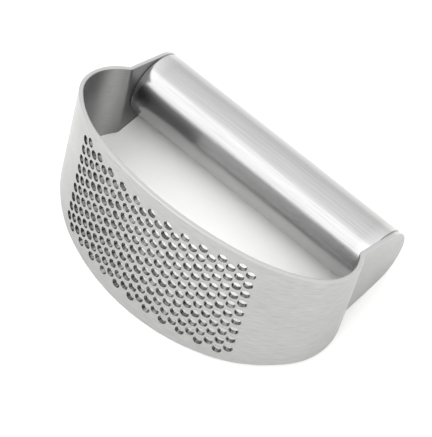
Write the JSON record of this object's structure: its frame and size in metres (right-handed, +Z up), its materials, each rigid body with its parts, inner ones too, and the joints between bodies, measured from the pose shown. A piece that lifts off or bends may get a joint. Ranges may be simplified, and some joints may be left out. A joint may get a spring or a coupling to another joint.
{
  "type": "rocking garlic press",
  "caption": "Rocking garlic press: a perforated stainless strip bent into a shallow rocker, with a tube handle welded between its upturned ends.",
  "frame": {"origin": "centre of the bounding box's base, on the surface that the press lies on", "axes": "+X along the handle, +Y from the rocker towards the handle, +Z up; the press lies on its side, on the handle and on one long edge of the strip"},
  "size_m": [0.0896, 0.0614, 0.0426],
  "materials": {
    "brushed_strip": "fine brushing along the strip, broken edges",
    "satin_tube": "satin, fine grain along the tube",
    "weld_metal": "dressed weld"
  },
  "bodies": {
    "root": {"rocker_strip": "brushed_strip", "handle_tube": "satin_tube", "left_weld_ring": "weld_metal", "right_weld_ring": "weld_metal"}
  },
  "joints": []
}
